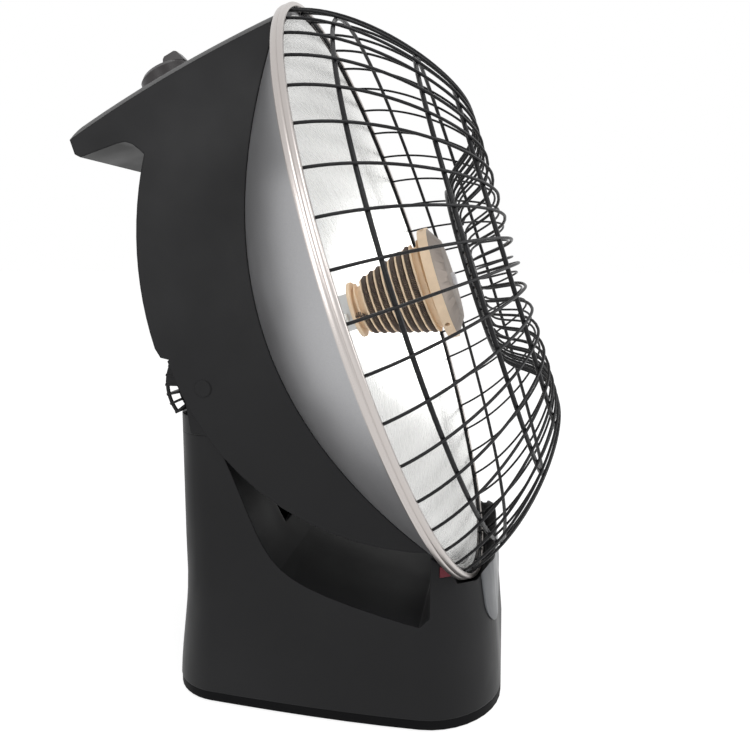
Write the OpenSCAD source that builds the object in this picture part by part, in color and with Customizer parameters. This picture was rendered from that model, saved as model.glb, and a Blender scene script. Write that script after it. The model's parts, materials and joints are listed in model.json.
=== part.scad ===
// Parabolic dish heater: a dish head with a wire guard, tilting on a free-standing base.
// Frame: the origin is on the floor below the middle of the whole heater, +Z is up and the dish
// looks along -Y.
// Head pieces are drawn on the dish axis: a profile point is [distance from the axis, distance
// in front of the rim plane], and "a" names a place along that axis.

/* [Tilt pivot] */
// Height of the tilt axis above the floor
pivot_h = 194; // [192:0.5:198]
// Distance of the tilt axis behind the origin
pivot_back = 61.25; // [60:0.25:63]
// Upward tilt of the dish axis in the lowest position
head_tilt = 18; // [17:0.5:20]
// Radius of the two pivot pins
pin_r = 5; // [4:0.5:6]
// Radial play of a pin in its ear
pin_play = 0.05; // [0.02:0.01:0.1]
// Radius of the neck's ears round the tilt axis
ear_r = 15; // [14:0.5:17]
// Thickness of an ear
ear_t = 4; // [3:0.5:5]

/* [Dish] */
// Distance from the tilt axis forward to the rim plane, along the dish axis
rim_ahead = 110; // [108:0.5:114]
// Height of the dish axis above the tilt axis, square to the dish axis
rim_above = 16; // [14:0.5:18]
// Radius of the outer bowl at its rim
bowl_r = 180; // [178:0.5:181]
// Depth of the outer bowl
bowl_depth = 83.4; // [80:0.2:85]
// Distance of the bowl's rim behind the rim plane
bowl_rim_back = 3.6; // [3.4:0.1:4]
// Thickness of the outer bowl's sheet
bowl_t = 1; // [0.6:0.1:1.2]
// How far the reflector's rim stands inside the bowl's
reflector_inside = 3; // [2.6:0.2:4]
// Depth of the reflector
reflector_depth = 77; // [74:0.5:78]
// Distance of the reflector's rim behind the rim plane
reflector_rim_back = 1; // [0.8:0.1:1.4]
// Thickness of the reflector's sheet
reflector_t = 0.8; // [0.5:0.1:1]
// Radius of the hole in the middle of both sheets
dish_hole_r = 21; // [20:0.5:22]

/* [Trim ring] */
// How far the trim ring stands out past the bowl's rim
trim_over = 3.4; // [3.2:0.1:4.5]
// Thickness of the trim ring's sheet
trim_t = 0.8; // [0.6:0.1:0.9]
// Distance of the trim ring's front lip in front of the rim plane
trim_front = 2; // [1.6:0.1:2.2]
// Distance of the trim ring's rear lip behind the rim plane
trim_back = 4.6; // [4.5:0.1:5]
// How far the trim ring's front lip stands out past the bowl's rim
trim_lip_over = 0.6; // [0.4:0.1:1]

/* [Guard] */
// Number of radial wires
wire_n = 48; // [36:4:60]
// Radius of a radial wire
wire_r = 0.8; // [0.7:0.05:0.9]
// Radius of a ring wire
ring_r = 1.25; // [1.1:0.05:1.4]
// How far the welds press a wire into a ring
weld = 0.25; // [0.2:0.05:0.3]
// Distance of the guard's crest in front of the rim plane
guard_depth = 77.5; // [74:0.5:80]
// Radius of the guard's crest
crest_r = 94.5; // [90:0.5:98]
// Radius of the wires at the bottom of the dimple
dimple_r = 53.5; // [50:0.5:56]
// Depth of the dimple below the crest
dimple_depth = 26.5; // [24:0.5:29]
// Radius of the wires at the innermost ring
hub_ring_r = 16; // [14:0.5:20]

/* [Heating element] */
// Number of loops of the wound coil
coil_loops = 7.5; // [6:0.5:8]
// Diameter of the wound coil's tube
coil_d = 3.6; // [3.2:0.1:3.8]
// Radius of the winding at the former's small end, to the tube's middle
coil_r_small = 17.2; // [16:0.1:18.5]
// Radius of the winding at the former's large end, to the tube's middle
coil_r_large = 28.8; // [28:0.1:30]
// Distance of the former's small end behind the rim plane
former_back = 31; // [30:0.5:33]
// Thickness of the collar at the former's small end
collar_t = 2.5; // [2:0.25:3]
// Distance of the ceramic cap's rear face in front of the rim plane
cap_front = 24; // [22:0.5:25]
// Thickness of the ceramic cap
cap_t = 6; // [5:0.5:7]
// Radius of the ceramic cap
cap_r = 36.5; // [35:0.5:38]
// Thickness of the bevelled disc in front of the cap
disc_t = 6; // [5:0.5:7]
// Radius of the bevelled disc at its front
disc_front_r = 26; // [24:0.5:28]
// Radius of the bolt that holds the element together
bolt_r = 2.5; // [2:0.25:3]
// Half width of the element's bracket
bracket_w = 15; // [14:0.5:16]
// Half height of the element's bracket
bracket_h = 12; // [11:0.5:14]
// Thickness of the bracket's sheet
bracket_t = 1.2; // [1:0.1:1.5]
// Radius of a terminal tube
tube_r = 2.7; // [2.4:0.1:3]

/* [Housing] */
// Half width of the housing, to a cheek's outer face
cheek_w = 92; // [91:0.5:94]
// Thickness of the housing's wall
wall = 2.5; // [2:0.25:3]
// Radius of the arc of the crown, seen from the side
crown_arc_r = 951.5; // [900:0.5:1000]
// Distance of that arc's centre in front of the rim plane
crown_arc_a = 32; // [30:0.5:34]
// Height of the arc's top above the dish axis
crown_h = 181.2; // [181:0.1:181.6]
// Radius of the arc of the rear face
rear_arc_r = 192; // [190:0.5:194]
// Distance of the rear arc's centre in front of the rim plane
rear_arc_a = 62; // [60:0.5:64]
// Height of the rear arc's centre above the dish axis
rear_arc_u = 10; // [8:0.5:12]
// Radius of the arc of the cheeks' lower edge
cheek_arc_r = 151.4; // [150:0.1:152]
// Distance of that arc's centre in front of the rim plane
cheek_arc_a = 26.2; // [25:0.1:27]
// Distance of the handle's tip behind the rim plane
handle_back = 137; // [134:0.5:140]
// Height of the handle's underside above the dish axis
handle_under = 127; // [126:0.5:130]
// Distance of the floor's rear edge behind the rim plane
skin_back = 96; // [92:0.5:100]

/* [Control] */
// Distance of the knob's axis behind the rim plane, on the crown
knob_back = 102.5; // [100:0.5:106]
// Radius of the knob
knob_r = 20.5; // [19:0.5:22]
// Height of the knob's body
knob_h = 16; // [15:0.5:18]
// Height of the finger grip above the knob's body
grip_h = 7; // [6:0.5:8]
// Half width of the finger grip
grip_w = 5; // [4:0.5:6]
// Radius of the round mark on the grip
mark_r = 2; // [1.5:0.25:2.5]
// Gap between the knob and the crown
knob_gap = 0.5; // [0.4:0.1:1]
// Radius of the control's shaft
shaft_r = 3; // [2.5:0.25:3.5]

/* [Base] */
// Half width of the foot at its front
foot_w = 101; // [99:0.5:104]
// Half width of the foot at its rear
foot_rear_w = 94; // [92:0.5:97]
// Distance of the foot's front edge in front of the origin
foot_front = 110.75; // [109:0.25:114]
// Distance of the foot's rear edge behind the origin
foot_rear = 93.5; // [91:0.25:96]
// Corner radius of the foot at its front
foot_corner = 46; // [42:1:50]
// Corner radius of the foot at its rear
foot_rear_corner = 30; // [26:1:34]
// How much the sides of the foot bulge
foot_bow = 5; // [3:0.5:7]
// Half width of the neck
neck_w = 86; // [85.5:0.25:86.5]
// Distance of the neck's rear wall behind the origin
neck_rear = 85.75; // [85:0.25:87]
// Half width of the front block at its front
block_w = 92; // [90:0.25:93]
// Corner radius of the front block
block_corner = 50; // [40:1:54]
// Corner radius of the neck at its rear
neck_corner = 24; // [20:1:26]
// Height over which the foot's flare fades
flare_h = 110; // [90:5:120]
// Height of the seam under the neck's cap
seam_h = 165; // [163:0.5:167]
// Height of the neck's rear edge
neck_top = 176; // [175:0.5:177]
// Thickness of the base's wall
base_wall = 2.5; // [2:0.25:3]
// Distance of the front block's rear wall in front of the origin
block_back = 69.25; // [67:0.25:71]
// Height of the front block's upper corners, above its rear wall
block_top = 104; // [100:1:110]
// Height of the front block's upper corners at its front
block_front_top = 92; // [88:1:100]
// Height of the lowest point of the hollow below the head
hollow_low = 61; // [58:0.5:64]
// Clearance between the base and the dish head
dish_gap = 1.5; // [1.5:0.25:3]
// Height of the plate's rim that closes the base
plate_h = 6; // [5:0.5:8]
// Thickness of the base plate
plate_t = 2.5; // [2:0.25:3]
// How far the plate's rim stands back from the shell
plate_inset = 0.5; // [0.5:0.25:1.5]
// Height of the rubber feet below the plate
pad_out = 1.2; // [1:0.1:1.5]
// Radius of a rubber foot
pad_r = 9; // [8:0.5:10]
// Radius of a screw's shaft
screw_r = 1.6; // [1.4:0.1:1.8]
// Radius of a screw's head
screw_head_r = 3.4; // [3:0.1:3.8]

/* [Neck louvre] */
// Number of slats
slat_n = 7; // [5:1:8]
// Thickness of a slat
slat_t = 1.4; // [1.2:0.1:1.8]
// Depth of a slat
slat_d = 8; // [6:0.5:9]
// Distance of the slats' rear edges from the tilt axis
louvre_r = 28; // [26:0.5:28.5]

/* [Base fittings] */
// Half width of the window in the neck's front wall
window_w = 44; // [36:1:48]
// Height of the window's sill
window_low = 100; // [96:1:104]
// Width of the lens, from front to back
lens_w = 6; // [5:0.5:7]
// Height of the lens
lens_h = 6; // [5:0.5:7]
// Height of the lens's middle above the trim ring's rear edge beside it
lens_over_ring = 1.2; // [-3:0.1:1.5]
// Distance of the lens's middle behind the trim ring's rear edge
lens_behind_ring = 5.7; // [4.5:0.1:6.5]
// Height of the front plate's lower edge
front_plate_low = 50; // [47:1:56]
// Height of the front plate's upper edge
front_plate_high = 94; // [88:1:96]
// Half width of the front plate
front_plate_w = 67; // [60:1:72]
// Radius of the front plate's lower corners
front_plate_corner = 16; // [8:1:20]
// Thickness of the front plate
front_plate_t = 0.8; // [0.6:0.1:1]
// Travel of the tip-over switch's plunger
plunger_travel = 4; // [3:0.25:5]
// Radius of the plunger's foot
plunger_r = 6; // [5:0.5:7]
// Radius of the cord inlet's bore
inlet_r = 3.6; // [3:0.1:4]
// Height of the cord inlet above the floor
inlet_z = 28; // [24:1:34]

/* [Hidden] */
$fn = 64;
tiny = 0.02;
big = 600;

// ---- places shared by both halves ----
module at_pivot() {
  translate([0, pivot_back, pivot_h]) children();
}

// Head frame: +X to the side, -Y forward along the dish axis, +Z square to it
module in_head() {
  at_pivot() rotate([-head_tilt, 0, 0]) translate([0, -rim_ahead, rim_above]) children();
}

// Dish axis: a profile's first number is a radius, its second is "a"
module on_axis() {
  in_head() rotate([90, 0, 0]) children();
}

// A prism across the object, drawn as [Y, Z] points
module across(half_w) {
  translate([-half_w, 0, 0]) rotate([90, 0, 90]) linear_extrude(2 * half_w) children();
}

// A prism across the head, drawn as [a, height above the dish axis] points
module across_head(half_w) {
  in_head() across(half_w) mirror([1, 0]) children();
}

module both_sides() {
  children();
  mirror([1, 0, 0]) children();
}

function bezier(p, t) =
  pow(1 - t, 3) * p[0] + 3 * pow(1 - t, 2) * t * p[1] + 3 * (1 - t) * t * t * p[2] + pow(t, 3) * p[3];
function ease(t) = t <= 0 ? 0 : t >= 1 ? 1 : t * t * (3 - 2 * t);
function arc(cx, cy, r, from, to, n) =
  [for (i = [0:n]) let (w = from + (to - from) * i / n) [cx + r * cos(w), cy + r * sin(w)]];

// ---- dish ----
reflector_r = bowl_r - reflector_inside;
trim_r = bowl_r + trim_over;
trim_lip_r = bowl_r + trim_lip_over;
bowl_back = bowl_depth + bowl_rim_back;
bowl_q = bowl_r * bowl_r / bowl_depth;
reflector_back = reflector_depth + reflector_rim_back;
reflector_q = reflector_r * reflector_r / reflector_depth;
// Both sheets are paraboloids; t is measured square to the surface
function bowl_a(r, t = 0) = r * r / bowl_q - bowl_back + t * sqrt(1 + pow(2 * r / bowl_q, 2));
function reflector_a(r, t = 0) =
  r * r / reflector_q - reflector_back + t * sqrt(1 + pow(2 * r / reflector_q, 2));
dish_steps = 22;
function dish_radii(from, to) = [for (i = [0:dish_steps]) from + (to - from) * i / dish_steps];
function reversed(list) = [for (i = [len(list) - 1:-1:0]) list[i]];
flange_r = trim_r - trim_t - 0.2;

module dish_bowl() {
  radii = dish_radii(dish_hole_r, bowl_r);
  color([0.62, 0.62, 0.63]) difference() {
    on_axis() rotate_extrude($fn = 120) union() {
      polygon(concat([for (r = radii) [r, bowl_a(r)]], [for (r = reversed(radii)) [r, bowl_a(r, bowl_t)]]));
      translate([bowl_r - 1, bowl_a(bowl_r)]) square([flange_r - bowl_r + 1, bowl_t]);
    }
    boss_spots() cylinder(h = 60, r = screw_r + 0.2, center = true, $fn = 24);
  }
}

// Everything the bowl fills or faces, grown backwards by gap: what stands behind the bowl is cut by it
module bowl_solid(gap = 0) {
  radii = dish_radii(0, bowl_r + 6);
  on_axis() rotate_extrude($fn = 120)
    polygon(concat([for (r = radii) [r, bowl_a(r, -gap)]], [[bowl_r + 6, 80], [0, 80]]));
}

// The rim is turned back into a skirt that stands on the bowl
module reflector() {
  skirt_r = reflector_r - reflector_t;
  skirt_end = bowl_a(reflector_r, bowl_t) + 0.1;
  color([0.88, 0.88, 0.87]) on_axis() rotate_extrude($fn = 120) polygon(concat(
    [for (r = dish_radii(dish_hole_r, reflector_r)) [r, reflector_a(r)]],
    [[reflector_r, skirt_end], [skirt_r, skirt_end]],
    [for (r = reversed(dish_radii(dish_hole_r, skirt_r))) [r, reflector_a(r, -reflector_t)]]
  ));
}

module dish_spacer() {
  inner = dish_hole_r + 3;
  outer = dish_hole_r + 10;
  seat = 0.2;
  steps = [inner, (inner + outer) / 2, outer];
  color([0.75, 0.72, 0.66]) on_axis() rotate_extrude($fn = 120) polygon(concat(
    [for (r = steps) [r, bowl_a(r, bowl_t + seat)]],
    [for (r = reversed(steps)) [r, reflector_a(r, -reflector_t - seat)]]
  ));
}

module trim_ring() {
  lip = trim_lip_r;
  rear_lip = bowl_r + 1.4;
  color([0.72, 0.68, 0.65]) on_axis() rotate_extrude($fn = 120) polygon([
    [lip, trim_front], [trim_r - 1, trim_front], [trim_r - 0.2, trim_front - 0.6], [trim_r, trim_front - 1.6],
    [trim_r, -trim_back + 1.2], [trim_r - 0.7, -trim_back], [rear_lip, -trim_back],
    [rear_lip, -trim_back + trim_t], [trim_r - trim_t, -trim_back + trim_t],
    [trim_r - trim_t, trim_front - trim_t], [lip, trim_front - trim_t]
  ]);
}

// ---- guard ----
rim_wire_a = trim_front - trim_t - ring_r - 0.05;
rim_wire_mid_r = trim_r - trim_t - ring_r - 0.05;
wire_end_r = rim_wire_mid_r - ring_r - wire_r + weld;
dome = [[-0.5, wire_end_r + 0.4], [37.5, wire_end_r - 11], [guard_depth, crest_r + 21.5], [guard_depth, crest_r]];
dimple = [
  [guard_depth, crest_r], [guard_depth, crest_r - 27],
  [guard_depth - dimple_depth + 3, dimple_r + 18.5], [guard_depth - dimple_depth, dimple_r]
];
ring_places = [0.205, 0.555, 0.8];
dome_steps = [0, 0.1, 0.205, 0.32, 0.44, 0.555, 0.68, 0.8, 0.9, 1];
dimple_steps = [0.2, 0.4, 0.6, 0.8, 1];
hub_point = [guard_depth - dimple_depth - 1.5, hub_ring_r];
wire_short = concat(
  [[rim_wire_a - ring_r, wire_end_r]],
  [for (t = dome_steps) bezier(dome, t)], [for (t = dimple_steps) bezier(dimple, t)]
);
wire_long = concat(wire_short, [hub_point]);
wire_first = 1.5;
wire_sides = 5;

// One wire of the guard, swept in the plane that holds the dish axis
module guard_wire(line) {
  count = len(line);
  function heading(i) =
    let (d = line[min(i + 1, count - 1)] - line[max(i - 1, 0)]) atan2(d[1], d[0]);
  points = [for (i = [0:count - 1], k = [0:wire_sides - 1])
    let (w = 360 * (k + 0.5) / wire_sides, h = heading(i) + 90)
      [line[i][1] + wire_r * cos(w) * sin(h), wire_r * sin(w), line[i][0] + wire_r * cos(w) * cos(h)]];
  skin = [for (i = [0:count - 2], k = [0:wire_sides - 1])
    let (n = (k + 1) % wire_sides, p = i * wire_sides, q = p + wire_sides)
      each [[p + k, q + k, q + n], [p + k, q + n, p + n]]];
  ends = [for (k = [1:wire_sides - 2])
    let (p = (count - 1) * wire_sides) each [[0, k, k + 1], [p, p + k + 1, p + k]]];
  polyhedron(points, concat(skin, ends));
}

module guard_wires() {
  color([0.06, 0.06, 0.07]) on_axis() for (i = [0:wire_n - 1])
    rotate([0, 0, wire_first + 360 * i / wire_n]) guard_wire(i % 2 == 0 ? wire_long : wire_short);
}

module ring_at(r, a) {
  color([0.06, 0.06, 0.07]) on_axis() rotate_extrude($fn = 120) translate([r, a]) circle(ring_r, $fn = 16);
}

// A ring lies inside the wires, pressed into them by the weld
module ring_under(curve, t) {
  p = bezier(curve, t);
  d = bezier(curve, min(t + 0.01, 1)) - bezier(curve, t - 0.01);
  drop = (wire_r + ring_r - weld) / norm(d);
  ring_at(p[1] - d[0] * drop, p[0] + d[1] * drop);
}

module guard_rim_wire() {
  ring_at(rim_wire_mid_r, rim_wire_a);
}

module guard_ring_outer() {
  ring_under(dome, ring_places[0]);
}

module guard_ring_middle() {
  ring_under(dome, ring_places[1]);
}

module guard_ring_inner() {
  ring_under(dome, ring_places[2]);
}

module guard_ring_dimple() {
  ring_at(dimple_r, guard_depth - dimple_depth - wire_r - ring_r + weld);
}

module guard_ring_hub() {
  ring_at(hub_ring_r + ring_r / 2, hub_point[0] - wire_r - ring_r + weld);
}

// ---- heating element ----
cap_a = cap_front;
collar_a = collar_t - former_back;
bend_r = coil_d * 0.7;
coil_from = collar_a + coil_d + bend_r;
coil_to = cap_a - coil_d - bend_r;
coil_steps = 24;
bend_steps = 4;
function coil_r(a) =
  coil_r_small + (coil_r_large - coil_r_small) * (a - coil_from) / (coil_to - coil_from);
function around(r, w, a) = [r * cos(w), r * sin(w), a];
coil_turn = 360 * coil_loops;
coil_start_w = 200;
// The bends turn the wound tube from the axis into the loops, over an arc of bend_r
function bend_in(i) = let (w = 90 * i / bend_steps)
  around(coil_r_small, coil_start_w - (1 - sin(w)) * bend_r / coil_r_small * 57.3, coil_from - bend_r * cos(w));
function bend_out(i) = let (w = 90 * i / bend_steps)
  around(coil_r_large, coil_start_w + coil_turn + sin(w) * bend_r / coil_r_large * 57.3,
    coil_to + bend_r * (1 - cos(w)));
loop_count = ceil(coil_steps * coil_loops);
function loop_point(i) = let (s = i / loop_count, a = coil_from + (coil_to - coil_from) * s)
  around(coil_r(a), coil_start_w + coil_turn * s, a);
bend_w_in = coil_start_w - bend_r / coil_r_small * 57.3;
bend_w_out = coil_start_w + coil_turn + bend_r / coil_r_large * 57.3;
coil_line = concat(
  [around(coil_r_small, bend_w_in, collar_a + tiny)],
  [for (i = [0:bend_steps - 1]) bend_in(i)],
  [for (i = [0:loop_count]) loop_point(i)],
  [for (i = [1:bend_steps]) bend_out(i)],
  [around(coil_r_large, bend_w_out, cap_a - tiny)]
);
coil_sides = 6;
unit = function(v) v / norm(v);

// Least gap between the tube and its own next loop
coil_gap = min([for (i = [0:len(coil_line) - 1], j = [i + coil_steps / 2:1:len(coil_line) - 1])
  norm(coil_line[i] - coil_line[j])]) - coil_d;
echo(coil_least_gap = coil_gap);

module heating_coil() {
  count = len(coil_line);
  function along(i) = unit(coil_line[min(i + 1, count - 1)] - coil_line[max(i - 1, 0)]);
  // The tube's section is measured from the direction away from the dish axis
  function out(i) = let (p = coil_line[i], d = along(i), o = [p[0], p[1], 0]) unit(o - (o * d) * d);
  points = [for (i = [0:count - 1], k = [0:coil_sides - 1])
    let (w = 360 * k / coil_sides) coil_line[i] + coil_d / 2 * (cos(w) * out(i) + sin(w) * cross(along(i), out(i)))];
  skin = [for (i = [0:count - 2], k = [0:coil_sides - 1])
    let (n = (k + 1) % coil_sides, p = i * coil_sides, q = p + coil_sides)
      each [[p + k, q + k, q + n], [p + k, q + n, p + n]]];
  ends = [for (k = [1:coil_sides - 2])
    let (p = (count - 1) * coil_sides) each [[0, k, k + 1], [p, p + k + 1, p + k]]];
  color([0.36, 0.31, 0.27]) on_axis() polyhedron(points, concat(skin, ends));
}

core_gap = 0.3;
bolt_play = 0.3;

module element_former() {
  slope = (coil_r_large - coil_r_small) / (coil_to - coil_from);
  body_r = coil_r_small - coil_d / 2 - core_gap;
  color([0.93, 0.88, 0.8]) on_axis() rotate_extrude($fn = 72) polygon([
    [bolt_r + bolt_play, -former_back], [coil_r_small + 1.6, -former_back], [coil_r_small + 1.6, collar_a],
    [body_r - slope * (coil_from - collar_a), collar_a], [body_r + slope * (cap_a - coil_from), cap_a],
    [bolt_r + bolt_play, cap_a]
  ]);
}

module element_cap() {
  hole_r = 1.6;
  color([0.92, 0.86, 0.76]) on_axis() difference() {
    translate([0, 0, cap_a]) cylinder(h = cap_t, r = cap_r);
    translate([0, 0, cap_a - 1]) cylinder(h = cap_t + 2, r = bolt_r + bolt_play);
    for (w = [105:120:345])
      rotate([0, 0, w]) translate([cap_r - 6, 0, cap_a + cap_t / 2]) rotate([0, 90, 0]) cylinder(h = 8, r = hole_r, $fn = 24);
  }
}

module element_disc() {
  color([0.5, 0.46, 0.43]) on_axis() rotate_extrude($fn = 72) polygon([
    [bolt_r + bolt_play, cap_a + cap_t], [cap_r - 0.9, cap_a + cap_t],
    [disc_front_r, cap_a + cap_t + disc_t], [bolt_r + bolt_play, cap_a + cap_t + disc_t]
  ]);
}

bracket_front = -former_back;
bracket_foot = reflector_a(norm([bracket_w + 11, bracket_h]), 0.1);

// Folded sheet: a foot flange each side, two side plates and a front plate under the collar
module element_bracket() {
  color([0.7, 0.7, 0.7]) on_axis() difference() {
    union() {
      translate([-bracket_w, -bracket_h, bracket_front - bracket_t]) cube([2 * bracket_w, 2 * bracket_h, bracket_t]);
      for (side = [-1, 1])
        translate([side * (bracket_w - bracket_t / 2) - bracket_t / 2, -bracket_h, bracket_foot])
          cube([bracket_t, 2 * bracket_h, bracket_front - bracket_foot - bracket_t]);
      for (side = [-1, 1])
        translate([side * (bracket_w + 5) - 6, -bracket_h, bracket_foot])
          cube([12, 2 * bracket_h, bracket_t]);
    }
    translate([0, 0, bracket_front - bracket_t - 1]) cylinder(h = bracket_t + 2, r = bolt_r + bolt_play, $fn = 32);
    for (side = [-1, 1])
      translate([side * tube_x, tube_u, bracket_foot - 1]) cylinder(h = bracket_t + 2, r = tube_r + 0.3, $fn = 32);
  }
}

bolt_head_t = 2.5;

module element_bolt() {
  front = cap_a + cap_t + disc_t;
  rear = bracket_front - bracket_t;
  color([0.62, 0.62, 0.63]) on_axis() {
    translate([0, 0, rear - bolt_head_t]) cylinder(h = front - rear + 2 * bolt_head_t, r = bolt_r, $fn = 32);
    translate([0, 0, front]) cylinder(h = bolt_head_t, r = bolt_r * 1.9, $fn = 6);
    translate([0, 0, rear - bolt_head_t]) cylinder(h = bolt_head_t, r = bolt_r * 1.9, $fn = 6);
  }
}

tube_x = bracket_w + 0.3 + tube_r;
tube_u = -3;

// Ceramic tubes that carry the leads through the dish beside the bracket
module terminal_tubes() {
  color([0.95, 0.95, 0.93]) on_axis() for (side = [-1, 1])
    translate([side * tube_x, tube_u, -bowl_back - 6]) difference() {
      cylinder(h = bowl_back + 6 + bracket_front - 3, r = tube_r, $fn = 32);
      translate([0, 0, -1]) cylinder(h = bowl_back, r = tube_r / 2, $fn = 24);
    }
}

// ---- head housing ----
function crown(a) = crown_h - crown_arc_r + sqrt(pow(crown_arc_r, 2) - pow(a - crown_arc_a, 2));
crown_steps = 16;
crown_front = -8;

// The barrel that the crown and the handle belong to, thinned by t
module barrel(t = 0) {
  ends = [for (i = [0:crown_steps]) crown_front - (handle_back + 8 + crown_front) * i / crown_steps];
  on_axis() rotate_extrude($fn = 120)
    polygon(concat([for (a = ends) [crown(a) - t, a]], [[0, -handle_back - 8], [0, crown_front]]));
}

cheek_arc_u = 4.9;
lip_a = rear_arc_a - rear_arc_r;
rear_top_u = 116.4;
function rear_w(u) = 180 - asin((u - rear_arc_u) / rear_arc_r);

// Side view of the housing as [a, height], drawn in by t; the crown trims its top
module side_view(t = 0) {
  big_r = rear_arc_r - t;
  low_r = cheek_arc_r - t;
  polygon(concat(
    [[40, 200], [-handle_back + t, 200], [-handle_back + t, handle_under + 3 + t]],
    [[-handle_back + 2.5 + t, handle_under + 0.5 + t], [-111, handle_under + t]],
    [[-106 + t / 2, handle_under - 0.8 + t], [-102.5 + t, handle_under - 3.4 + t / 2], [-99.6 + t, 119.5 + t / 2]],
    arc(rear_arc_a, rear_arc_u, big_r, rear_w(rear_top_u), rear_w(14), 12),
    [[lip_a + 1.5 + t, 8 + t / 2], [lip_a + 6 + t, 5.4 + t / 2]],
    arc(cheek_arc_a, cheek_arc_u, low_r, 180, 286, 18),
    [[60, -140]]
  ));
}

module housing() {
  inside_w = cheek_w - wall;
  color([0.16, 0.16, 0.17]) union() {
    difference() {
      intersection() {
        barrel();
        across_head(cheek_w) side_view();
      }
      intersection() {
        barrel(wall);
        across_head(inside_w) side_view(wall);
      }
      bowl_solid(0.15);
      across_head(inside_w) polygon([[-200, -200], [-skin_back, -200], [-skin_back, 5.4], [-200, 5.4]]);
      at_pivot() rotate([0, 90, 0]) cylinder(h = 2 * inside_w, r = louvre_r + 3, center = true, $fn = 96);
      at_pivot() rotate([0, 90, 0]) cylinder(h = 2 * (cheek_w - pin_cover), r = pin_r, center = true, $fn = 48);
      at_crown() cylinder(h = 60, r = shaft_r + 0.6, center = true, $fn = 32);
    }
    // The cover of a pin stands a little proud of the cheek
    both_sides() at_pivot() translate([cheek_w - pin_cover / 2, 0, 0]) rotate([0, 90, 0])
      cylinder(h = pin_cover, r = pin_r, $fn = 48);
  }
}

pin_cover = 0.9;
bar_low = 22;
bar_high = 42;
bar_back = 96;
bar_t = 6;
boss_x = 30;
boss_u = (bar_low + bar_high) / 2;

module boss_spots() {
  in_head() for (side = [-1, 1]) translate([side * boss_x, bar_back, boss_u]) rotate([90, 0, 0]) children();
}

// Bar between the cheeks, with two bosses that the bowl is screwed to
module cross_bar() {
  color([0.45, 0.46, 0.47]) difference() {
    union() {
      in_head() translate([-(cheek_w - wall), bar_back - bar_t, bar_low])
        cube([2 * (cheek_w - wall), bar_t, bar_high - bar_low]);
      boss_spots() cylinder(h = 20, r = 6, $fn = 32);
    }
    bowl_solid(0.1);
    boss_spots() translate([0, 0, -1]) cylinder(h = 30, r = screw_r, $fn = 24);
  }
}

module dish_screws() {
  boss_r = norm([boss_x, boss_u]);
  seat = bowl_a(boss_r + screw_head_r, bowl_t) + 0.05;
  color([0.6, 0.6, 0.62]) in_head() for (side = [-1, 1])
    translate([side * boss_x, -seat, boss_u]) rotate([-90, 0, 0]) union() {
      cylinder(h = 12, r = screw_r, $fn = 24);
      translate([0, 0, -2]) cylinder(h = 2, r = screw_head_r, $fn = 24);
    }
}

pin_inner = neck_w - ear_t - 3;

module pivot_pins() {
  color([0.55, 0.55, 0.57]) both_sides() at_pivot() translate([pin_inner, 0, 0]) rotate([0, 90, 0]) union() {
    cylinder(h = cheek_w - pin_cover - 0.1 - pin_inner, r = pin_r, $fn = 48);
    cylinder(h = 2.8, r = pin_r + 3, $fn = 48);
  }
}

module pivot_washers() {
  side_play = 0.05;
  washer_t = cheek_w - wall - neck_w - 2 * side_play;
  color([0.3, 0.3, 0.3]) both_sides() at_pivot() translate([neck_w + side_play, 0, 0]) rotate([0, 90, 0]) difference() {
    cylinder(h = washer_t, r = pin_r + 6, $fn = 48);
    translate([0, 0, -1]) cylinder(h = washer_t + 2, r = pin_r + pin_play, $fn = 48);
  }
}

// ---- control ----
knob_lean = asin((knob_back + crown_arc_a) / crown_arc_r);

// The knob's own frame: its origin is on the crown and +Z stands square to it
module at_crown() {
  in_head() translate([0, -crown_arc_a, crown_h - crown_arc_r]) rotate([-knob_lean, 0, 0])
    translate([0, 0, crown_arc_r]) children();
}

knob_top = knob_gap + knob_h;
switch_h = 18;

module knob() {
  skirt_h = 3;
  color([0.13, 0.13, 0.14]) at_crown() difference() {
    union() {
      translate([0, 0, knob_gap]) cylinder(h = skirt_h, r = knob_r);
      translate([0, 0, knob_gap + skirt_h]) rotate_extrude() polygon([
        [0, 0], [knob_r - 1, 0], [knob_r - 2.5, knob_h - skirt_h - 2.5], [knob_r - 5, knob_h - skirt_h], [0, knob_h - skirt_h]
      ]);
      across(grip_w) polygon([
        [3.5 - knob_r, knob_top - 1], [6 - knob_r, knob_top + grip_h - 1], [7.5 - knob_r, knob_top + grip_h],
        [-5.5, knob_top + grip_h], [-4, knob_top + grip_h - 1], [0, knob_top - 1]
      ]);
    }
    translate([0, 0, -1]) cylinder(h = knob_h - 3, r = shaft_r, $fn = 48);
    translate([0, mark_y, knob_top + grip_h - 0.6]) cylinder(h = 2, r = mark_r, $fn = 32);
  }
}

mark_y = mark_r + 6.3 - knob_r;

module knob_mark() {
  color([0.85, 0.85, 0.83]) at_crown() translate([0, mark_y, knob_top + grip_h - 0.6]) cylinder(h = 0.7, r = mark_r, $fn = 32);
}

module control_shaft() {
  color([0.6, 0.6, 0.62]) at_crown() translate([0, 0, -wall - 6]) cylinder(h = wall + 5 + knob_h - 3, r = shaft_r, $fn = 48);
}

module control_switch() {
  color([0.85, 0.83, 0.78]) at_crown() difference() {
    union() {
      translate([-16, -16, -wall - switch_h - 3.6]) cube([32, 32, switch_h]);
      translate([0, 0, -wall - 3.7]) cylinder(h = 3.1, r = 7, $fn = 32);
    }
    translate([0, 0, -wall - 6.5]) cylinder(h = 20, r = shaft_r + 0.06, $fn = 48);
  }
}

// ---- base ----
function flare(z) = 1 - ease(z / flare_h);
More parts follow.
